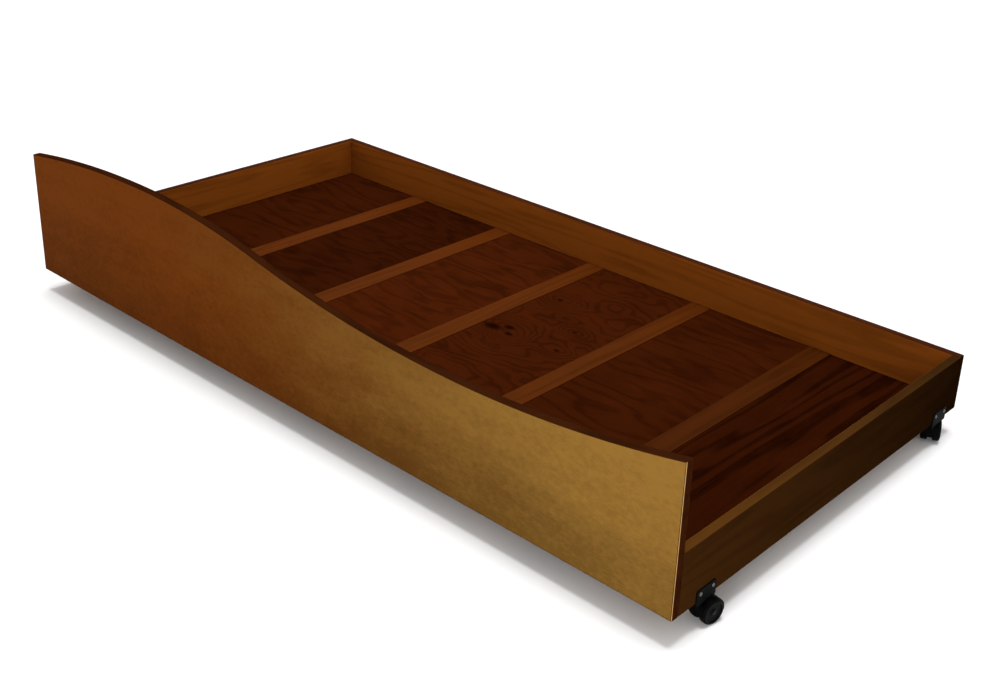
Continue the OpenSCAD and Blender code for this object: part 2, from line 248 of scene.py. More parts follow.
def stained_wood(name, tone, along, ring=60 * MM, size=90 * MM, lines=6, stretch=0.12, fibre=3 * MM, seed=0.0,
                 weights=(0.3, 0.35, 0.6), spread=0.35, knots=(), roughness=0.55, specular=0.005, relief=0.06,
                 painted_light_front_back=None):
    """Stained and satin-lacquered wood: lines of early and late wood under one stain.

    The front and back factors give how much of the tone is left at the front and at the back:
    painted light at the front and painted shade at the back, as light falls on the board.
    """
    material, shader = new_material(name)
    late, fibres, mottle, core = wood_figure(material, along, ring, size, lines, stretch, fibre, seed, knots)
    level = blend_figure(material, ((late, weights[0]), (fibres, weights[1]), (mottle, weights[2])), 0.45)
    tones = [(0.1, shade(tone, 1 - spread * 1.2)), (0.45, tone), (0.85, shade(tone, 1 + spread))]
    stain = add(material, "ShaderNodeValToRGB", {"Fac": level}, stops=tones).outputs["Color"]
    if core:
        stain = add(material, "ShaderNodeMix", {0: core, 6: stain, 7: rgba(shade(tone, 0.25))},
                    data_type="RGBA").outputs[2]
    # painted light and shade: the tone is multiplied by a factor that runs from the front to the back of the bed
    if painted_light_front_back:
        lo, hi = CAD_BOX
        spot = add(material, "ShaderNodeSeparateXYZ", {0: add(material, "ShaderNodeTexCoord").outputs["Object"]})
        left = add(material, "ShaderNodeMapRange",
                   {0: spot.outputs["Y"], 1: lo[1], 2: hi[1], 3: painted_light_front_back[0], 4: painted_light_front_back[1]}).outputs[0]
        stain = add(material, "ShaderNodeMix", {0: 1.0, 6: stain, 7: left}, data_type="RGBA",
                    blend_type="MULTIPLY").outputs[2]
    grain = add(material, "ShaderNodeMath", {0: fibres, 1: late}, operation="ADD")
    bump = add(material, "ShaderNodeBump", {"Height": grain.outputs[0], "Strength": 0.5, "Distance": relief * MM})
    plug(material, shader, Base_Color=stain, Roughness=roughness, Specular_IOR_Level=specular,
         Normal=bump.outputs[0])
    return material


def maple_veneer():
    """Maple veneer, sliced and lacquered satin: a fine mottled figure, red-brown towards the left end and golden
    towards the right, partly the stain's own tone and partly painted light and shade."""
    material, shader = new_material("maple_veneer_stained_satin")
    tints = colours()
    lo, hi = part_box("front_panel")
    late, fibres, mottle, _ = wood_figure(material, "X", 90 * MM, 120 * MM, 3, 0.12, 3 * MM, 3.7)
    place = add(material, "ShaderNodeTexCoord").outputs["Object"]
    curl_place, pore_place = (
        add(material, "ShaderNodeMapping", {"Vector": place, "Scale": (share, 1, 1)}).outputs[0]
        for share in (0.7, 0.3))
    curl = add(material, "ShaderNodeTexNoise",
               {"Vector": curl_place, "Scale": 1 / (11 * MM), "Detail": 3.0, "Roughness": 0.65}).outputs["Fac"]
    spot = add(material, "ShaderNodeSeparateXYZ", {0: place})
    # darker towards the bottom edge
    lift = add(material, "ShaderNodeMapRange", {0: spot.outputs["Z"], 1: lo.z, 2: lo.z * 0.3 + hi.z * 0.7}).outputs[0]
    # maple's pores are about 0.1 mm across: drawn at 2.5 mm, as coarse as they need to be to show
    pores = add(material, "ShaderNodeTexNoise",
                {"Vector": pore_place, "Scale": 1 / (2.5 * MM), "Detail": 1.0}).outputs["Fac"]
    level = blend_figure(material, ((late, 0.1), (fibres, 0.2), (mottle, 0.6), (curl, 0.8), (pores, 0.45),
                                    (lift, 0.62)))
    spread = 0.26
    tones = [[(0.15, shade(tone, 1 - spread)), (0.5, tone), (0.85, shade(tone, 1 + spread))]
             for tone in (tints.veneer_red_painted_shade, tints.veneer_gold_painted_light)]
    red, golden = (add(material, "ShaderNodeValToRGB", {"Fac": level}, stops=stops).outputs["Color"]
                   for stops in tones)
    # painted light: the gold is darkened towards the left end, where less light falls, and full at the right
    bright = add(material, "ShaderNodeMapRange", {0: spot.outputs["X"], 1: -0.4, 2: 0.8, 3: 0.48, 4: 1.0}).outputs[0]
    golden = add(material, "ShaderNodeMix", {0: 1.0, 6: golden, 7: bright}, data_type="RGBA",
                 blend_type="MULTIPLY").outputs[2]
    # the gold takes over towards the right end and a little towards the top edge: partly the stain's own tone, partly
    # painted light
    rise = add(material, "ShaderNodeMath", {0: spot.outputs["Z"], 1: 0.9, 2: spot.outputs["X"]},
               operation="MULTIPLY_ADD").outputs[0]
    cloudy = add(material, "ShaderNodeMath", {0: mottle, 1: 0.5, 2: rise}, operation="MULTIPLY_ADD").outputs[0]
    gold_and_painted_light = add(material, "ShaderNodeMapRange", {0: cloudy, 1: -0.05, 2: hi.x + 0.3, 3: 0.0, 4: 1.0},
               interpolation_type="SMOOTHSTEP").outputs[0]
    mixed = add(material, "ShaderNodeMix", {0: gold_and_painted_light, 6: red, 7: golden}, data_type="RGBA").outputs[2]
    bump = add(material, "ShaderNodeBump", {"Height": fibres, "Strength": 0.4, "Distance": 0.05 * MM}).outputs[0]
    plug(material, shader, Base_Color=mixed, Roughness=0.5, Specular_IOR_Level=0.004, Normal=bump)
    return material


def moulded_nylon(name, tone, roughness):
    """Injection-moulded nylon: even colour, a fine spark-eroded texture and faint flow marks."""
    material, shader = new_material(name)
    place = add(material, "ShaderNodeTexCoord").outputs["Object"]
    texture = add(material, "ShaderNodeTexNoise", {"Vector": place, "Scale": 1 / (0.8 * MM), "Detail": 1.0})
    flow = add(material, "ShaderNodeTexNoise", {"Vector": place, "Scale": 1 / (18 * MM), "Detail": 2.0})
    base = add(material, "ShaderNodeValToRGB", {"Fac": flow.outputs["Fac"]},
               stops=[(0.3, shade(tone, 0.85)), (0.7, shade(tone, 1.2))]).outputs["Color"]
    gloss = add(material, "ShaderNodeMapRange",
                {0: flow.outputs["Fac"], 1: 0.3, 2: 0.7, 3: roughness - 0.05, 4: roughness + 0.07})
    bump = add(material, "ShaderNodeBump",
               {"Height": texture.outputs["Fac"], "Strength": 0.25, "Distance": 0.05 * MM})
    plug(material, shader, Base_Color=base, Roughness=gloss.outputs[0], Specular_IOR_Level=0.03,
         Normal=bump.outputs[0])
    return material


def powder_coat(name, tone):
    """Powder-coated steel: black with a low orange-peel ripple."""
    material, shader = new_material(name)
    place = add(material, "ShaderNodeTexCoord").outputs["Object"]
    peel = add(material, "ShaderNodeTexNoise", {"Vector": place, "Scale": 1 / (1.6 * MM), "Detail": 0.0})
    base = add(material, "ShaderNodeValToRGB", {"Fac": peel.outputs["Fac"]},
               stops=[(0.3, shade(tone, 0.9)), (0.7, shade(tone, 1.15))]).outputs["Color"]
    bump = add(material, "ShaderNodeBump", {"Height": peel.outputs["Fac"], "Strength": 0.3, "Distance": 0.08 * MM})
    plug(material, shader, Base_Color=base, Roughness=0.55, Specular_IOR_Level=0.02, Normal=bump.outputs[0])
    return material


def steel(name, tone, roughness, turned=0.3 * MM):
    """Zinc-plated or turned steel: bright, with fine marks left by the tool."""
    material, shader = new_material(name)
    place = add(material, "ShaderNodeTexCoord").outputs["Object"]
    marks = add(material, "ShaderNodeTexNoise", {"Vector": place, "Scale": 1 / turned, "Detail": 2.0})
    base = add(material, "ShaderNodeValToRGB", {"Fac": marks.outputs["Fac"]},
               stops=[(0.3, shade(tone, 0.85)), (0.7, shade(tone, 1.1))]).outputs["Color"]
    gloss = add(material, "ShaderNodeMapRange",
                {0: marks.outputs["Fac"], 1: 0.3, 2: 0.7, 3: roughness - 0.06, 4: roughness + 0.08})
    plug(material, shader, Base_Color=base, Metallic=1.0, Roughness=gloss.outputs[0])
    return material


# ---------------------------------------------------------------- making pieces

def finish_piece(bm, name, body, materials, stands_for=(), merge=True):
    """Turns a bmesh into a piece that rides on a body and stands for its CAD nodes."""
    if merge:
        bmesh.ops.remove_doubles(bm, verts=bm.verts, dist=0.001 * MM)
    bmesh.ops.recalc_face_normals(bm, faces=bm.faces)
    mesh = bpy.data.meshes.new(name)
    bm.to_mesh(mesh)
    bm.free()
    for material in materials:
        mesh.materials.append(material)
    mesh.polygons.foreach_set("use_smooth", [True] * len(mesh.polygons))
    mesh.set_sharp_from_angle(angle=math.radians(40))
    piece = bpy.data.objects.new(name, mesh)
    bpy.context.scene.collection.objects.link(piece)
    weighted = piece.modifiers.new("Even shading", "WEIGHTED_NORMAL")
    weighted.keep_sharp = True
    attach(piece, body)
    if stands_for:
        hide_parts(*stands_for)
    return piece


def block(bm, lo, hi):
    """A plain box between two corners. Returns its vertices."""
    middle, size = (lo + hi) / 2, hi - lo
    matrix = Matrix.Translation(middle) @ Matrix.Diagonal((*size, 1.0))
    return bmesh.ops.create_cube(bm, size=1.0, matrix=matrix)["verts"]


def round_edges(bm, edges, radius, segments=3):
    bmesh.ops.bevel(bm, geom=list(edges), offset=radius, offset_type="OFFSET", segments=segments,
                    profile=0.5, affect="EDGES", material=-1, clamp_overlap=True)


def sharp_edges(geometry, degrees=30):
    """The edges between faces that meet at more than an angle."""
    edges = {e for v in geometry for e in v.link_edges}
    return [e for e in edges if len(e.link_faces) == 2 and e.calc_face_angle() > math.radians(degrees)]


def board(bm, lo, hi, arris, segments=3):
    verts = block(bm, lo, hi)
    round_edges(bm, sharp_edges(verts), arris, segments)


def turned(bm, profile, steps, matrix=None):
    """Spins a closed outline of (radius, distance along the axle) points about the local X axis."""
    verts = [bm.verts.new((x, 0.0, r)) for r, x in profile]
    edges = [bm.edges.new((a, b)) for a, b in zip(verts, verts[1:] + verts[:1])]
    before = set(bm.verts) - set(verts)
    bmesh.ops.spin(bm, geom=verts + edges, cent=(0, 0, 0), axis=X_AXIS, dvec=(0, 0, 0), angle=2 * math.pi,
                   steps=steps, use_merge=True, use_normal_flip=False, use_duplicate=False)
    made = [v for v in bm.verts if v not in before]
    if matrix is not None:
        bmesh.ops.transform(bm, matrix=matrix, verts=made)
    return made


def boolean(piece, cutter, operation):
    """Applies one boolean with a helper mesh, which is then removed."""
    modifier = piece.modifiers.new("Shape", "BOOLEAN")
    modifier.object = cutter
    modifier.operation = operation
    modifier.solver = "EXACT"
    bpy.context.view_layer.update()
    evaluated = piece.evaluated_get(bpy.context.evaluated_depsgraph_get())
    shaped = bpy.data.meshes.new_from_object(evaluated)
    piece.modifiers.clear()
    piece.data = shaped
    bpy.data.objects.remove(cutter)


def helper(bm, name="helper"):
    """A loose object made from a bmesh, for use as a cutter or a blank."""
    bmesh.ops.recalc_face_normals(bm, faces=bm.faces)
    mesh = bpy.data.meshes.new(name)
    bm.to_mesh(mesh)
    bm.free()
    made = bpy.data.objects.new(name, mesh)
    bpy.context.scene.collection.objects.link(made)
    return made


def shaped(blank):
    """The helper's final mesh as a new bmesh. The helper is removed."""
    bm = bmesh.new()
    bm.from_mesh(blank.data)
    bpy.data.objects.remove(blank)
    return bm


def paint(bm, axis, index, least=0.7):
    """Gives the faces that face along an axis the material of that index."""
    bm.normal_update()
    for face in bm.faces:
        if face.normal.dot(axis) > least:
            face.material_index = index


# ---------------------------------------------------------------- boards

def build_front_panel():
    """The front panel: the CAD node's outer face, given the panel's thickness and soft arrises."""
    lo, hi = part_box("front_panel")
    bm = bmesh.new()
    bm.from_mesh(frame["nodes"]["front_panel"].data)
    bmesh.ops.remove_doubles(bm, verts=bm.verts, dist=0.01 * MM)
    near = 0.05 * MM
    others = [f for f in bm.faces if any(abs(v.co.y - lo.y) > near for v in f.verts)]
    bmesh.ops.delete(bm, geom=others, context="FACES")
    face = bmesh.ops.dissolve_faces(bm, faces=bm.faces[:])["region"][0]
    swept = bmesh.ops.extrude_face_region(bm, geom=[face])["geom"]
    moved = [v for v in swept if isinstance(v, bmesh.types.BMVert)]
    bmesh.ops.translate(bm, verts=moved, vec=(0, hi.y - lo.y, 0))
    bmesh.ops.recalc_face_normals(bm, faces=bm.faces)
    round_edges(bm, sharp_edges(bm.verts), sizes().board_arris, 3)
    bm.normal_update()
    for face in bm.faces:
        if abs(face.normal.y) < 0.98:
            face.material_index = 1
        # partly wear, partly painted highlight: the front right arris, where the light catches it, takes a lighter
        # rubbed-through tone
        if face.normal.x > 0.5 and face.normal.y < -0.5:
            face.material_index = 2
    edge = stained_wood("maple_edge_dark_stain", colours().edge, "X", seed=1.3, spread=0.3, specular=0.0)
    arris_wear_and_highlight = stained_wood("maple_arris_wear_and_painted_highlight", linear("#b58f5d"), "X", seed=1.9, spread=0.2)
    finish_piece(bm, "shaped_front_panel", "frame", [maple_veneer(), edge, arris_wear_and_highlight],
                 ["front_panel"])


def build_boards():
    """The back rail and the end boards, with rounded arrises and countersunk holes at the back."""
    s, tints = sizes(), colours()
    flame = dict(size=60 * MM, lines=6, stretch=0.06, weights=(0.24, 0.3, 0.5), spread=0.26)
    lengthways = stained_wood("poplar_rail_stained_satin", tints.board, "X", seed=5.1, **flame)
    # painted light: a lit copy of the board tone, 1.2 times as bright, for the end boards' inner faces
    across = stained_wood("poplar_end_painted_light", shade(tints.board, 1.2), "Y", seed=8.4, **flame)
    # painted shade: the right end's outer face, the darkest copy, brighter at the front and darker at the back
    outer = stained_wood("poplar_outer_face_painted_shade", tints.outer_board_painted_shade, "Y", seed=12.4, specular=0.0,
                         painted_light_front_back=(2.0, 0.5), **flame)
    # the right end's top edge: its own lighter tone, with painted shade darkening it towards the back
    right_top = stained_wood("poplar_right_top_edge_painted_shade", tints.right_top_edge, "Y", seed=2.4, painted_light_front_back=(1.0, 0.4), **flame)
    # painted shade: shaded copies of the board tone, 0.36 as bright, for the outer faces of the rail and the left end
    back_x = stained_wood("poplar_rail_back_painted_shade", shade(tints.board, 0.36), "X", seed=6.3, **flame)
    back_y = stained_wood("poplar_left_face_painted_shade", shade(tints.board, 0.36), "Y", seed=7.2, **flame)
    top_x = stained_wood("poplar_rail_edge_stained_dark", tints.top_edge, "X", seed=9.2, **flame)
    top_y = stained_wood("poplar_end_edge_stained_dark", tints.top_edge, "Y", seed=9.9, **flame)
    for name, woods in (("left_end", [across, top_y, back_y]), ("right_end", [outer, right_top, across])):
        bm = bmesh.new()
        board(bm, *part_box(name), s.board_arris)
        paint(bm, Z_AXIS, 1)
        paint(bm, -X_AXIS, 2)
        finish_piece(bm, name + "_board", "frame", woods, [name])
    bm = bmesh.new()
    board(bm, *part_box("back_rail"), s.board_arris)
    paint(bm, Z_AXIS, 1)
    paint(bm, X_AXIS, 2, 0.3)
    paint(bm, -X_AXIS, 2, 0.3)
    paint(bm, Y_AXIS, 3)
    rail = helper(bm)
    cutters = bmesh.new()
    head_r = s.rail_screw_head / 2
    for spot in rail_screw_spots():
        outline = [(0, -4 * MM), (head_r * 0.5, -4 * MM), (head_r, -0.3 * MM), (head_r, 1 * MM), (0, 1 * MM)]
        turned_cone(cutters, outline, Matrix.Translation(spot) @ Matrix.Rotation(math.pi / 2, 4, "Z"))
    boolean(rail, helper(cutters), "DIFFERENCE")
    finish_piece(shaped(rail), "back_rail_board", "frame", [lengthways, top_x, outer, back_x],
                 ["back_rail"], merge=False)


def turned_cone(bm, outline, matrix):
    """Spins an outline whose ends lie on the axle, and closes it."""
    verts = [bm.verts.new((x, 0.0, r)) for r, x in outline]
    edges = [bm.edges.new((a, b)) for a, b in zip(verts, verts[1:])]
    before = set(bm.verts) - set(verts)
    bmesh.ops.spin(bm, geom=verts + edges, cent=(0, 0, 0), axis=X_AXIS, dvec=(0, 0, 0), angle=2 * math.pi,
                   steps=32, use_merge=True, use_normal_flip=False, use_duplicate=False)
    made = [v for v in bm.verts if v not in before]
    bmesh.ops.remove_doubles(bm, verts=made, dist=0.001 * MM)
    made = [v for v in bm.verts if v not in before]
    bmesh.ops.transform(bm, matrix=matrix, verts=made)


def rail_screw_spots():
    """Where the rail's screws stand on its outer face: two in each end board and each slat."""
    lo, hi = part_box("rail_screws")
    head_r = sizes().rail_screw_head / 2
    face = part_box("back_rail")[1].y
    spots = []
    for name in ("left_end", "right_end"):
        end_lo, end_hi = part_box(name)
        for z in (end_lo.z + 32 * MM, hi.z - head_r):
            spots.append(Vector(((end_lo.x + end_hi.x) / 2, face, z)))
    for name in SLATS:
        slat_lo, slat_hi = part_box(name)
        middle, reach = (slat_lo.x + slat_hi.x) / 2, slat_top_width() / 4
        for x in (middle - reach, middle + reach):
            spots.append(Vector((x, face, lo.z + head_r)))
    return spots


def slat_top_width():
    """The width of a slat that shows between two deck panels."""
    left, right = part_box(DECK_PANELS[0])[1].x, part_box(DECK_PANELS[1])[0].x
    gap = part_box(DECK_PANELS[0])[0].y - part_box(SLATS[0])[0].y
    return right - left - 2 * gap


# ---------------------------------------------------------------- deck

# Knots in the fourth deck panel: distance along and across from its front left corner, and radius, in mm
KNOTS = ((30, 528, 17), (62, 550, 10), (84, 524, 8), (45, 750, 6), (185, 640, 5), (215, 540, 6))


def build_deck():
    """The plywood deck panels: rotary-peeled faces, darkest of the bed's woods."""
    tone = colours().deck
    arris = sizes().deck_arris
    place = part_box("deck_panel_4")[0]
    knots = [(place.x + x * MM, place.y + y * MM, radius * MM) for x, y, radius in KNOTS]
    looks = {
        "deck_panel_1": dict(tone=shade(tone, 0.85), along="X", size=70 * MM, lines=5, seed=2.2),
        "deck_panel_2": dict(tone=shade(tone, 0.7), along="X", size=80 * MM, lines=7, seed=6.5),
        "deck_panel_3": dict(tone=shade(tone, 1.2), along="X", size=60 * MM, lines=5, seed=11.8),
        "deck_panel_4": dict(tone=shade(tone, 1.05), along="X", size=110 * MM, lines=11, stretch=0.6, seed=17.3,
                             knots=knots),
        "deck_panel_5": dict(tone=shade(tone, 0.9), along="X", size=80 * MM, lines=5, seed=21.0),
        # painted shade: deck_panel_6 is given the darkest tone for the shade beside the right end board
        "deck_panel_6": dict(tone=shade(tone, 0.58), along="Y", size=60 * MM, lines=5, stretch=0.07, seed=29.4,
                             spread=0.52, weights=(0.36, 0.5, 0.7)),
    }
    for name in DECK_PANELS:
        look = dict(stretch=0.3, weights=(0.24, 0.42, 0.65), spread=0.4, fibre=4 * MM, specular=0.0)
        look.update(looks[name])
        wood = stained_wood("peeled_plywood_stained_" + name[-1], **look)
        bm = bmesh.new()
        board(bm, *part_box(name), arris, 2)
        finish_piece(bm, name.replace("deck_panel", "deck_board"), "frame", [wood], [name])


# How much of the slats' colour each one keeps, from the left: darker towards the right end
SLAT_TONE_FACTORS = (1.0, 0.98, 0.95, 0.85, 0.6)


def build_slats():
    """The slats: solid, with a ledge along both sides that the deck panels lie on."""
    look = dict(size=40 * MM, lines=4, stretch=0.06, weights=(0.25, 0.35, 0.4), spread=0.28)
    woods = {name: stained_wood("poplar_stained_satin_" + name, shade(colours().slat, depth), "Y",
                                seed=3.3 + index, **look)
             for index, (name, depth) in enumerate(zip(SLATS, SLAT_TONE_FACTORS))}
    ledge_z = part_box(DECK_PANELS[0])[0].z
    half_top = slat_top_width() / 2
    for name in SLATS:
        lo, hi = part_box(name)
        middle = (lo.x + hi.x) / 2
        outline = [(lo.x, lo.z), (hi.x, lo.z), (hi.x, ledge_z), (middle + half_top, ledge_z),
                   (middle + half_top, hi.z), (middle - half_top, hi.z), (middle - half_top, ledge_z),
                   (lo.x, ledge_z)]
        bm = bmesh.new()
        face = bm.faces.new([bm.verts.new((x, lo.y, z)) for x, z in outline])
        swept = bmesh.ops.extrude_face_region(bm, geom=[face])["geom"]
        bmesh.ops.translate(bm, verts=[v for v in swept if isinstance(v, bmesh.types.BMVert)],
                            vec=(0, hi.y - lo.y, 0))
        bmesh.ops.recalc_face_normals(bm, faces=bm.faces)
        round_edges(bm, sharp_edges(bm.verts), sizes().deck_arris, 2)
        finish_piece(bm, name + "_board", "frame", [woods[name]], [name])


def build_hidden_wood():
    """Bare wood that stays as the frame has it: softwood cleats and beech dowels."""
    bare = dict(ring=8 * MM, size=60 * MM, lines=3, stretch=0.05, roughness=0.6, specular=0.2)
    pine_x = stained_wood("pine_cleat_planed", linear("#b98a52"), "X", seed=1.1, spread=0.25, **bare)
    pine_y = stained_wood("pine_end_cleat_planed", linear("#b98a52"), "Y", seed=4.1, spread=0.25, **bare)
    beech = stained_wood("beech_dowel_turned", linear("#c99b62"), "Y", seed=7.7, spread=0.15, **bare)
    for node, wood in (("front_cleats", pine_x), ("back_cleats", pine_x), ("left_cleat", pine_y),
                       ("right_cleat", pine_y), ("front_dowels", beech)):
        dress(node, wood)


def dress(node, material):
    """Gives a CAD node that stays in view its material."""
    mesh = frame["nodes"][node].data
    mesh.materials.clear()
    mesh.materials.append(material)


# ---------------------------------------------------------------- screws

def crossed_head(profile, width, depth):
    """A screw head turned from a profile, with a cross recess cut in its top. Its axis is X."""
    bm = bmesh.new()
    turned_cone(bm, profile, Matrix.Identity(4))
    blank = helper(bm)
    top = max(x for _, x in profile)
    for turn in (0.0, math.pi / 2):
        arm = bmesh.new()
        block(arm, Vector((top - depth, -width / 2, -width / 7)), Vector((top + 1 * MM, width / 2, width / 7)))
        bmesh.ops.rotate(arm, verts=arm.verts, cent=(0, 0, 0), matrix=Matrix.Rotation(turn, 3, "X"))
        boolean(blank, helper(arm), "DIFFERENCE")
    return shaped(blank)


def copies(bm, matrices):
    """A bmesh that holds one copy of bm at each matrix."""
    master = bpy.data.meshes.new("master")
    bm.to_mesh(master)
    bm.free()
    out = bmesh.new()
    for matrix in matrices:
        before = set(out.verts)
        out.from_mesh(master)
        bmesh.ops.transform(out, matrix=matrix, verts=[v for v in out.verts if v not in before])
    bpy.data.meshes.remove(master)
    return out


def build_screws():
    """Zinc-plated screws: countersunk heads in the back rail, and the CAD ones through the cleats."""
    zinc = steel("steel_screw_zinc_plated", linear("#c9c9c6"), 0.3)
    dulled = steel("steel_pan_screw_zinc_dulled", linear("#6f6f6b"), 0.35)
    dress("cleat_screws", zinc)
    head_r = sizes().rail_screw_head / 2
    profile = [(0, -4 * MM), (head_r * 0.5, -3.6 * MM), (head_r * 0.96, -0.6 * MM), (head_r * 0.96, -0.35 * MM),
               (0, -0.35 * MM)]
    head = crossed_head(profile, head_r * 1.2, 1.8 * MM)
    turn = Matrix.Rotation(math.pi / 2, 4, "Z")
    spots = [Matrix.Translation(spot) @ turn @ Matrix.Rotation(0.6 * i, 4, "X")
             for i, spot in enumerate(rail_screw_spots())]
    finish_piece(copies(head, spots), "rail_screw_heads", "frame", [zinc], ["rail_screws"], merge=False)
    pan_r = sizes().screw_head / 2
    pan = [(0, 0), (pan_r, 0), (pan_r, 0.6 * MM), (pan_r * 0.93, 1.2 * MM), (pan_r * 0.75, 1.75 * MM),
           (pan_r * 0.5, 2.05 * MM), (0, 2.15 * MM)]
    for caster in CASTERS:
        lo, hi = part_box(caster + "_bracket_screws")
        out = 1 if hi.x > 0 else -1
        face = bracket_face(caster)
        z = (lo.z + hi.z) / 2
        head = crossed_head(pan, pan_r * 1.2, 1.3 * MM)
        facing = Matrix.Rotation(0.0 if out > 0 else math.pi, 4, "Z")
        spots = [Matrix.Translation((face, y, z)) @ facing @ Matrix.Rotation(0.5 + y * 7, 4, "X")
                 for y in (lo.y + pan_r, hi.y - pan_r)]
        finish_piece(copies(head, spots), caster + "_pan_screws", "frame", [dulled],
                     [caster + "_bracket_screws"], merge=False)


# ---------------------------------------------------------------- casters

def joint(name):
    return next(j for j in frame["joints"] if j["name"] == name)


def wheel_frame(caster):
    """The matrix of a caster's pair of wheels: X out along the axle, Y away from the stem, Z up."""
    inner, outer = (joint(f"{caster}_{which}_roll") for which in ("inner", "outer"))
    middle = (Vector(inner["pos_m"]) + Vector(outer["pos_m"])) / 2
    out = (Vector(outer["pos_m"]) - Vector(inner["pos_m"])).normalized()
    back = Z_AXIS.cross(out)
    return Matrix.Translation(middle) @ Matrix((out, back, Z_AXIS)).transposed().to_4x4()


def stem_reach(caster):
    """Signed distance from the axle to the stem along the wheel frame's Y."""
    stem = Vector(joint(caster + "_swivel_turn")["pos_m"])
    return (wheel_frame(caster).inverted() @ stem).y


def bracket_face(caster):
    """X of the bracket flange's outer face."""
    lo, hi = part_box(caster + "_bracket")
    return hi.x if hi.x > 0 else lo.x


def wheel_width():
    """Width of one wheel, from the distance between the two and their side gaps."""
    inner, outer = (Vector(joint("front_right_" + w + "_roll")["pos_m"]) for w in ("inner", "outer"))
    return (outer - inner).length - sizes().web - 2 * sizes().wheel_side_gap


def build_wheel(caster, which, nylon):
    """One wheel: a rounded tread, a dished face with a raised rim, and a hub."""
    s = sizes()
    lo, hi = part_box(f"{caster}_{which}_wheel")
    r, w = (hi.z - lo.z) / 2, wheel_width()
    bore = s.axle / 2 + 0.05 * MM
    hub = s.axle / 2 + 3.5 * MM
    profile = [
        (bore, 0), (r - 3 * MM, 0), (r - 1.2 * MM, 0.3 * MM), (r - 0.3 * MM, 1.3 * MM), (r, 2.8 * MM),
        (r, w - 5.5 * MM), (r - 0.25 * MM, w - 3.6 * MM), (r - 0.9 * MM, w - 1.9 * MM), (r - 2.0 * MM, w - 0.7 * MM),
        (r - 3.4 * MM, w - 0.1 * MM), (r - 4.6 * MM, w - 0.3 * MM), (r - 5.2 * MM, w - 1.0 * MM),
        (r - 5.6 * MM, w - 2.2 * MM), (r - 8.5 * MM, w - 2.5 * MM), (hub + 2.2 * MM, w - 2.5 * MM),
        (hub + 0.8 * MM, w - 2.1 * MM), (hub, w - 1.3 * MM), (hub - 1.0 * MM, w - 1.2 * MM),
        (hub - 1.2 * MM, w - 2 * MM), (bore, w - 2 * MM),
    ]
    flip = Matrix.Identity(4) if which == "outer" else Matrix.Rotation(math.pi, 4, "Z")
    bm = bmesh.new()
    place = wheel_frame(caster) @ flip @ Matrix.Translation((s.web / 2 + s.wheel_side_gap, 0, 0))
    turned(bm, profile, s.spin_steps, place)
    body = f"{caster}_{which}_wheel"
    finish_piece(bm, f"{caster}_{which}_tread_wheel", body, [nylon], [body])


def arc_points(radius, start, end, steps):
    """Points of an arc in the YZ plane, angles from +Y towards +Z."""
    return [(radius * math.cos(start + (end - start) * k / steps),
             radius * math.sin(start + (end - start) * k / steps)) for k in range(steps + 1)]


def build_hood(caster, nylon):
    """The hood: a rounded cover over both treads, a web between the wheels and a boss for the stem."""
    s = sizes()
    r, wall, web = s.hood_radius, s.hood_wall, s.web
    wheel_r = (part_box(caster + "_outer_wheel")[1].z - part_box(caster + "_outer_wheel")[0].z) / 2
    half = web / 2 + s.wheel_side_gap + wheel_width() - 2 * MM
    dip = math.asin(s.skirt_drop / r)
    # cover: a thin rounded section swept over the wheels
    bm = bmesh.new()
    section = [(-half, r - wall), (-half, r - 1.0 * MM), (-half + 0.35 * MM, r - 0.35 * MM), (-half + 1.1 * MM, r),
               (half - 1.1 * MM, r), (half - 0.35 * MM, r - 0.35 * MM), (half, r - 1.0 * MM), (half, r - wall)]
    start = Matrix.Rotation(-math.pi / 2 - dip, 3, "X")
    face = bm.faces.new([bm.verts.new(start @ Vector((x, 0, z))) for x, z in section])
    bmesh.ops.spin(bm, geom=[face], cent=(0, 0, 0), axis=X_AXIS, dvec=(0, 0, 0), angle=math.pi + 2 * dip,
                   steps=40, use_merge=False, use_normal_flip=False, use_duplicate=False)
    cover = helper(bm)
    # web: a disc under the axle and the hood's own outline above the skirt
    bm = bmesh.new()
    low_r = wheel_r - 5 * MM
    outline = arc_points(r - wall / 2, -dip, math.pi + dip, 40)
    outline += arc_points(low_r, math.pi + dip + 0.25, 2 * math.pi - dip - 0.25, 20)
    face = bm.faces.new([bm.verts.new((-web / 2, y, z)) for y, z in outline])
    swept = bmesh.ops.extrude_face_region(bm, geom=[face])["geom"]
    bmesh.ops.translate(bm, verts=[v for v in swept if isinstance(v, bmesh.types.BMVert)], vec=(web, 0, 0))
    bmesh.ops.recalc_face_normals(bm, faces=bm.faces)
    boolean(cover, helper(bm), "UNION")
    # boss: a short post round the stem, cut clear of the wheels
    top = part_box(caster + "_hood")[1].z - wheel_r
    reach = stem_reach(caster)
    bm = bmesh.new()
    boss_r = s.boss / 2
    outline = [(0, 0), (boss_r, 0), (boss_r, top - 0.8 * MM), (boss_r - 0.25 * MM, top - 0.25 * MM),
               (boss_r - 0.8 * MM, top), (0, top)]
    upright = Matrix.Translation((0, reach, 0)) @ Matrix.Rotation(-math.pi / 2, 4, "Y")
    turned_cone(bm, outline, upright)
    post = helper(bm)
    bm = bmesh.new()
    cavity = wheel_r + 0.6 * MM
    turned_cone(bm, [(0, -half), (cavity, -half), (cavity, half), (0, half)], Matrix.Identity(4))
    boolean(post, helper(bm), "DIFFERENCE")
    boolean(cover, post, "UNION")
    bm = shaped(cover)
    bmesh.ops.transform(bm, matrix=wheel_frame(caster), verts=bm.verts)
    finish_piece(bm, caster + "_wheel_hood", caster + "_swivel", [nylon], [caster + "_hood"], merge=False)


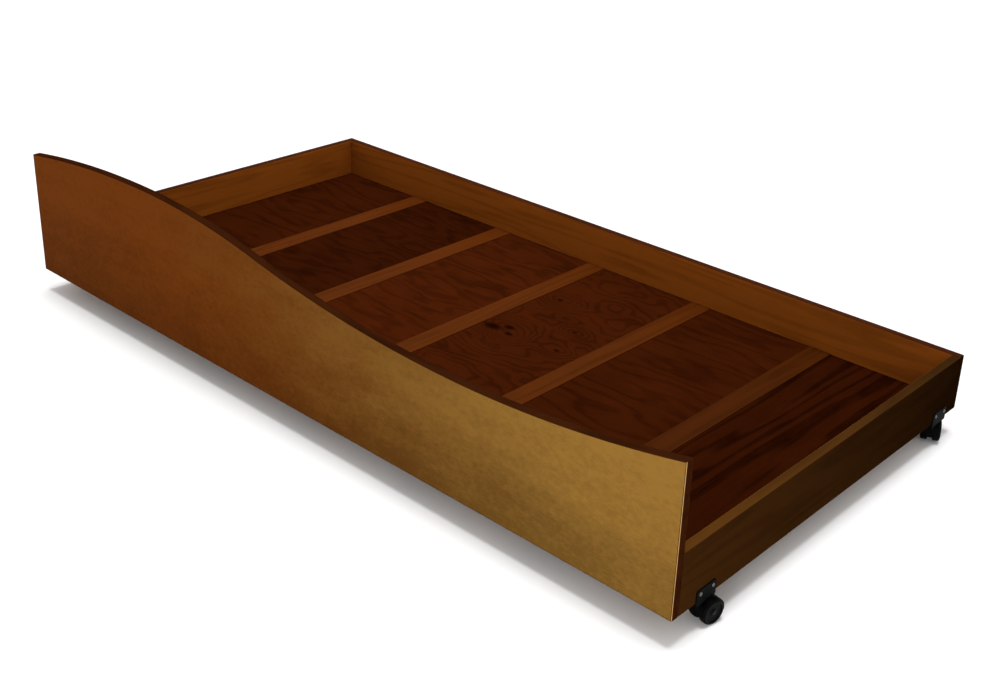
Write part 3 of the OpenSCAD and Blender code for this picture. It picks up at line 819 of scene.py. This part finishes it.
def build_axle(caster, metal):
    """The axle, with a domed cap on each end."""
    s = sizes()
    r = s.axle / 2
    face = s.web / 2 + s.wheel_side_gap + wheel_width() - 2 * MM + 0.3 * MM
    cap = r + 1.5 * MM
    half = [(r, 0), (r, face), (cap, face), (cap, face + 0.6 * MM), (cap * 0.8, face + 1.15 * MM),
            (cap * 0.45, face + 1.4 * MM), (0, face + 1.4 * MM)]
    outline = [(radius, -x) for radius, x in reversed(half[1:])] + half[1:]
    bm = bmesh.new()
    turned_cone(bm, outline, wheel_frame(caster))
    finish_piece(bm, caster + "_capped_axle", caster + "_swivel", [metal], [caster + "_axle"])


def build_stem(caster, metal):
    """The stem, with its snap ring above the bush."""
    lo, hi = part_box(caster + "_stem")
    spot = Vector(joint(caster + "_swivel_turn")["pos_m"])
    ring_r = (hi.x - lo.x) / 2
    r = ring_r - 1 * MM
    height = hi.z - lo.z
    outline = [(0, 0), (r - 0.6 * MM, 0), (r, 0.6 * MM), (r, height - 1 * MM), (ring_r - 0.15 * MM, height - 1 * MM),
               (ring_r, height - 0.85 * MM), (ring_r, height - 0.15 * MM), (ring_r - 0.15 * MM, height), (0, height)]
    bm = bmesh.new()
    upright = Matrix.Translation((spot.x, spot.y, lo.z)) @ Matrix.Rotation(-math.pi / 2, 4, "Y")
    turned_cone(bm, outline, upright)
    finish_piece(bm, caster + "_ringed_stem", caster + "_swivel", [metal], [caster + "_stem"])


def build_bush(caster, nylon):
    """The nylon bush in the end board's bottom edge."""
    lo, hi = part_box(caster + "_bush")
    outer = (hi.x - lo.x) / 2
    stem_lo, stem_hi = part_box(caster + "_stem")
    inner = (stem_hi.x - stem_lo.x) / 2 - 0.95 * MM
    middle = (lo + hi) / 2
    height = hi.z - lo.z
    lead = 0.4 * MM
    outline = [(inner, lead), (inner + lead, 0), (outer - lead, 0), (outer, lead), (outer, height - lead),
               (outer - lead, height), (inner + lead, height), (inner, height - lead)]
    bm = bmesh.new()
    upright = Matrix.Translation((middle.x, middle.y, lo.z)) @ Matrix.Rotation(-math.pi / 2, 4, "Y")
    turned(bm, outline, 48, upright)
    finish_piece(bm, caster + "_socket_bush", "frame", [nylon], [caster + "_bush"])


def build_bracket(caster, coat):
    """The angle bracket: a flange with rounded corners on the end board and a shelf under it."""
    lo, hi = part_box(caster + "_bracket")
    out = 1 if hi.x > 0 else -1
    end_lo, end_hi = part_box("right_end" if out > 0 else "left_end")
    flange_in = end_hi.x if out > 0 else end_lo.x
    flange_out = bracket_face(caster)
    shelf_in = end_lo.x if out > 0 else end_hi.x
    corner = 4 * MM
    bm = bmesh.new()
    verts = block(bm, Vector((min(flange_in, flange_out), lo.y, lo.z)), Vector((max(flange_in, flange_out), hi.y, hi.z)))
    across = [e for e in sharp_edges(verts) if abs(e.verts[0].co.x - e.verts[1].co.x) > 1 * MM]
    round_edges(bm, across, corner, 6)
    outer_edges = [e for e in sharp_edges(bm.verts, 60) if all(abs(v.co.x - flange_out) < 0.01 * MM for v in e.verts)]
    round_edges(bm, outer_edges, 0.7 * MM, 2)
    flange = helper(bm)
    bm = bmesh.new()
    verts = block(bm, Vector((min(shelf_in, flange_in) - (0 if out > 0 else 1 * MM), lo.y + corner, lo.z)),
                  Vector((max(shelf_in, flange_in) + (1 * MM if out > 0 else 0), hi.y - corner, end_lo.z)))
    low = [e for e in sharp_edges(verts) if all(v.co.z < lo.z + 0.01 * MM for v in e.verts)]
    round_edges(bm, low, 0.6 * MM, 2)
    boolean(flange, helper(bm), "UNION")
    stem = joint(caster + "_swivel_turn")["pos_m"]
    bush_lo, bush_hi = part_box(caster + "_bush")
    bore = (bush_hi.x - bush_lo.x) / 2
    bm = bmesh.new()
    upright = Matrix.Translation((stem[0], stem[1], lo.z - 2 * MM)) @ Matrix.Rotation(-math.pi / 2, 4, "Y")
    turned_cone(bm, [(0, 0), (bore, 0), (bore, 12 * MM), (0, 12 * MM)], upright)
    boolean(flange, helper(bm), "DIFFERENCE")
    finish_piece(shaped(flange), caster + "_angle_bracket", "frame", [coat], [caster + "_bracket"],
                 merge=False)


def build_casters():
    black = colours().caster
    hood_nylon = moulded_nylon("nylon_moulded_black_textured", black, 0.5)
    wheel_nylon = moulded_nylon("nylon_wheel_moulded_black", shade(black, 1.3), 0.38)
    bush_nylon = moulded_nylon("nylon_bush_natural", linear("#d8d2bf"), 0.45)
    coat = powder_coat("steel_powder_coated_black", black)
    turned_steel = steel("steel_turned_bright", linear("#b8b8b6"), 0.28)
    black_steel = steel("steel_pin_black_oxide", linear("#17171a"), 0.45)
    for caster in CASTERS:
        build_bracket(caster, coat)
        build_bush(caster, bush_nylon)
        build_stem(caster, turned_steel)
        build_hood(caster, hood_nylon)
        build_axle(caster, black_steel)
        for which in ("inner", "outer"):
            build_wheel(caster, which, wheel_nylon)


# ---------------------------------------------------------------- stage

def studio_floor():
    """Matt painted studio floor, close to white, with the faintest unevenness."""
    material, shader = new_material("studio_floor_matt_paint")
    place = add(material, "ShaderNodeTexCoord").outputs["Object"]
    cloud = add(material, "ShaderNodeTexNoise", {"Vector": place, "Scale": 0.6, "Detail": 2.0})
    tone = colours().floor
    base = add(material, "ShaderNodeValToRGB", {"Fac": cloud.outputs["Fac"]},
               stops=[(0.3, shade(tone, 0.99)), (0.7, tone)]).outputs["Color"]
    plug(material, shader, Base_Color=base, Roughness=0.9, Specular_IOR_Level=0.1)
    return material


def add_lamp(name, place, target, width, height, watts):
    """A rectangular softbox that faces its target."""
    lamp = bpy.data.lights.new(name, "AREA")
    lamp.shape = "RECTANGLE"
    lamp.size, lamp.size_y = width, height
    lamp.energy = watts
    thing = bpy.data.objects.new(name, lamp)
    bpy.context.scene.collection.objects.link(thing)
    place, target = Vector(place), Vector(target)
    thing.matrix_world = Matrix.Translation(place) @ (place - target).to_track_quat("Z", "Y").to_matrix().to_4x4()
    return thing


def add_overhead(strength, degrees):
    """A wide even light from straight above, as from a ceiling of softboxes."""
    lamp = bpy.data.lights.new("overhead", "SUN")
    lamp.energy = strength
    lamp.angle = math.radians(degrees)
    bpy.context.scene.collection.objects.link(bpy.data.objects.new("overhead", lamp))


def build_stage():
    scene = bpy.context.scene
    scene.view_settings.view_transform = "Standard"
    reach = 40.0
    bm = bmesh.new()
    # a floor with low walls far off, so that no view looks past its edge
    block(bm, Vector((-reach, -reach, 0)), Vector((reach, reach, 0.35 * reach)))
    bm.normal_update()
    bmesh.ops.delete(bm, geom=[f for f in bm.faces if f.normal.z > 0.5], context="FACES")
    bmesh.ops.reverse_faces(bm, faces=bm.faces)
    mesh = bpy.data.meshes.new("studio_floor")
    bm.to_mesh(mesh)
    bm.free()
    mesh.materials.append(studio_floor())
    floor = bpy.data.objects.new("studio_floor", mesh)
    scene.collection.objects.link(floor)

    world = bpy.data.worlds.new("studio")
    world.use_nodes = True
    backdrop = world.node_tree.nodes["Background"]
    backdrop.inputs["Color"].default_value = (1, 1, 1, 1)
    backdrop.inputs["Strength"].default_value = 0.65
    scene.world = world

    add_overhead(2.0, 18)
    add_lamp("key_softbox", (1.35, -2.1, 0.65), (0.96, -0.5, 0.34), 0.8, 0.5, 9)

    camera = bpy.data.cameras.new("camera")
    camera.lens = CAMERA["lens"]
    camera.shift_x, camera.shift_y = CAMERA["shift"]
    camera.clip_end = 200
    thing = bpy.data.objects.new("camera", camera)
    scene.collection.objects.link(thing)
    azimuth, elevation, roll = (math.radians(a) for a in CAMERA["angles"])
    back = Vector((math.sin(azimuth) * math.cos(elevation), -math.cos(azimuth) * math.cos(elevation),
                   math.sin(elevation)))
    right = (-back).cross(Z_AXIS).normalized()
    up = back.cross(right)
    level = Matrix((right, up, back)).transposed()
    turn = level @ Matrix.Rotation(roll, 3, "Z")
    thing.matrix_world = Matrix.Translation(CAMERA["place"]) @ turn.to_4x4()
    scene.camera = thing


# Camera: lens in mm on a 36 mm sensor, place in metres, azimuth, elevation and roll in degrees
CAMERA = {
    "lens": 48.2,
    "shift": (-0.010, -0.082),
    "place": (1.9495, -2.015, 1.445),
    "angles": (41.96, 23.18, 2.11),
}


# ---------------------------------------------------------------- operators

class TRUNDLE_OT_front_panel(bpy.types.Operator):
    """Build the shaped front panel"""
    bl_idname = "trundle.front_panel"
    bl_label = "Front Panel"

    def execute(self, context):
        build_front_panel()
        return {"FINISHED"}


class TRUNDLE_OT_boards(bpy.types.Operator):
    """Build the back rail and the end boards"""
    bl_idname = "trundle.boards"
    bl_label = "Rail and End Boards"

    def execute(self, context):
        build_boards()
        return {"FINISHED"}


class TRUNDLE_OT_deck(bpy.types.Operator):
    """Build the plywood deck panels"""
    bl_idname = "trundle.deck"
    bl_label = "Deck Panels"

    def execute(self, context):
        build_deck()
        return {"FINISHED"}


class TRUNDLE_OT_slats(bpy.types.Operator):
    """Build the slats between the deck panels"""
    bl_idname = "trundle.slats"
    bl_label = "Slats"

    def execute(self, context):
        build_slats()
        return {"FINISHED"}


class TRUNDLE_OT_hidden_wood(bpy.types.Operator):
    """Give the cleats and dowels their woods"""
    bl_idname = "trundle.hidden_wood"
    bl_label = "Cleats and Dowels"

    def execute(self, context):
        build_hidden_wood()
        return {"FINISHED"}


class TRUNDLE_OT_screws(bpy.types.Operator):
    """Build the screw heads"""
    bl_idname = "trundle.screws"
    bl_label = "Screws"

    def execute(self, context):
        build_screws()
        return {"FINISHED"}


class TRUNDLE_OT_casters(bpy.types.Operator):
    """Build the four swivel casters"""
    bl_idname = "trundle.casters"
    bl_label = "Casters"

    def execute(self, context):
        build_casters()
        return {"FINISHED"}


class TRUNDLE_OT_stage(bpy.types.Operator):
    """Add the floor, the light and the camera"""
    bl_idname = "trundle.stage"
    bl_label = "Stage"

    def execute(self, context):
        build_stage()
        return {"FINISHED"}


OPERATORS = (
    TRUNDLE_OT_front_panel,
    TRUNDLE_OT_boards,
    TRUNDLE_OT_deck,
    TRUNDLE_OT_slats,
    TRUNDLE_OT_hidden_wood,
    TRUNDLE_OT_screws,
    TRUNDLE_OT_casters,
    TRUNDLE_OT_stage,
)


class TRUNDLE_PT_panel(bpy.types.Panel):
    bl_label = "Trundle Bed"
    bl_idname = "TRUNDLE_PT_panel"
    bl_space_type = "VIEW_3D"
    bl_region_type = "UI"
    bl_category = "Trundle Bed"

    def draw(self, context):
        for group in (context.scene.trundle_sizes, context.scene.trundle_colours):
            column = self.layout.column()
            for key in group.__annotations__:
                column.prop(group, key)
        for operator in OPERATORS:
            self.layout.operator(operator.bl_idname)


CLASSES = (TrundleSizes, TrundleColours, *OPERATORS, TRUNDLE_PT_panel)


def register():
    for cls in CLASSES:
        bpy.utils.register_class(cls)
    bpy.types.Scene.trundle_sizes = PointerProperty(type=TrundleSizes)
    bpy.types.Scene.trundle_colours = PointerProperty(type=TrundleColours)


def unregister():
    del bpy.types.Scene.trundle_colours
    del bpy.types.Scene.trundle_sizes
    for cls in reversed(CLASSES):
        bpy.utils.unregister_class(cls)


def main():
    register()
    for operator in OPERATORS:
        group, name = operator.bl_idname.split(".")
        getattr(getattr(bpy.ops, group), name)()


if __name__ == "__main__":
    main()
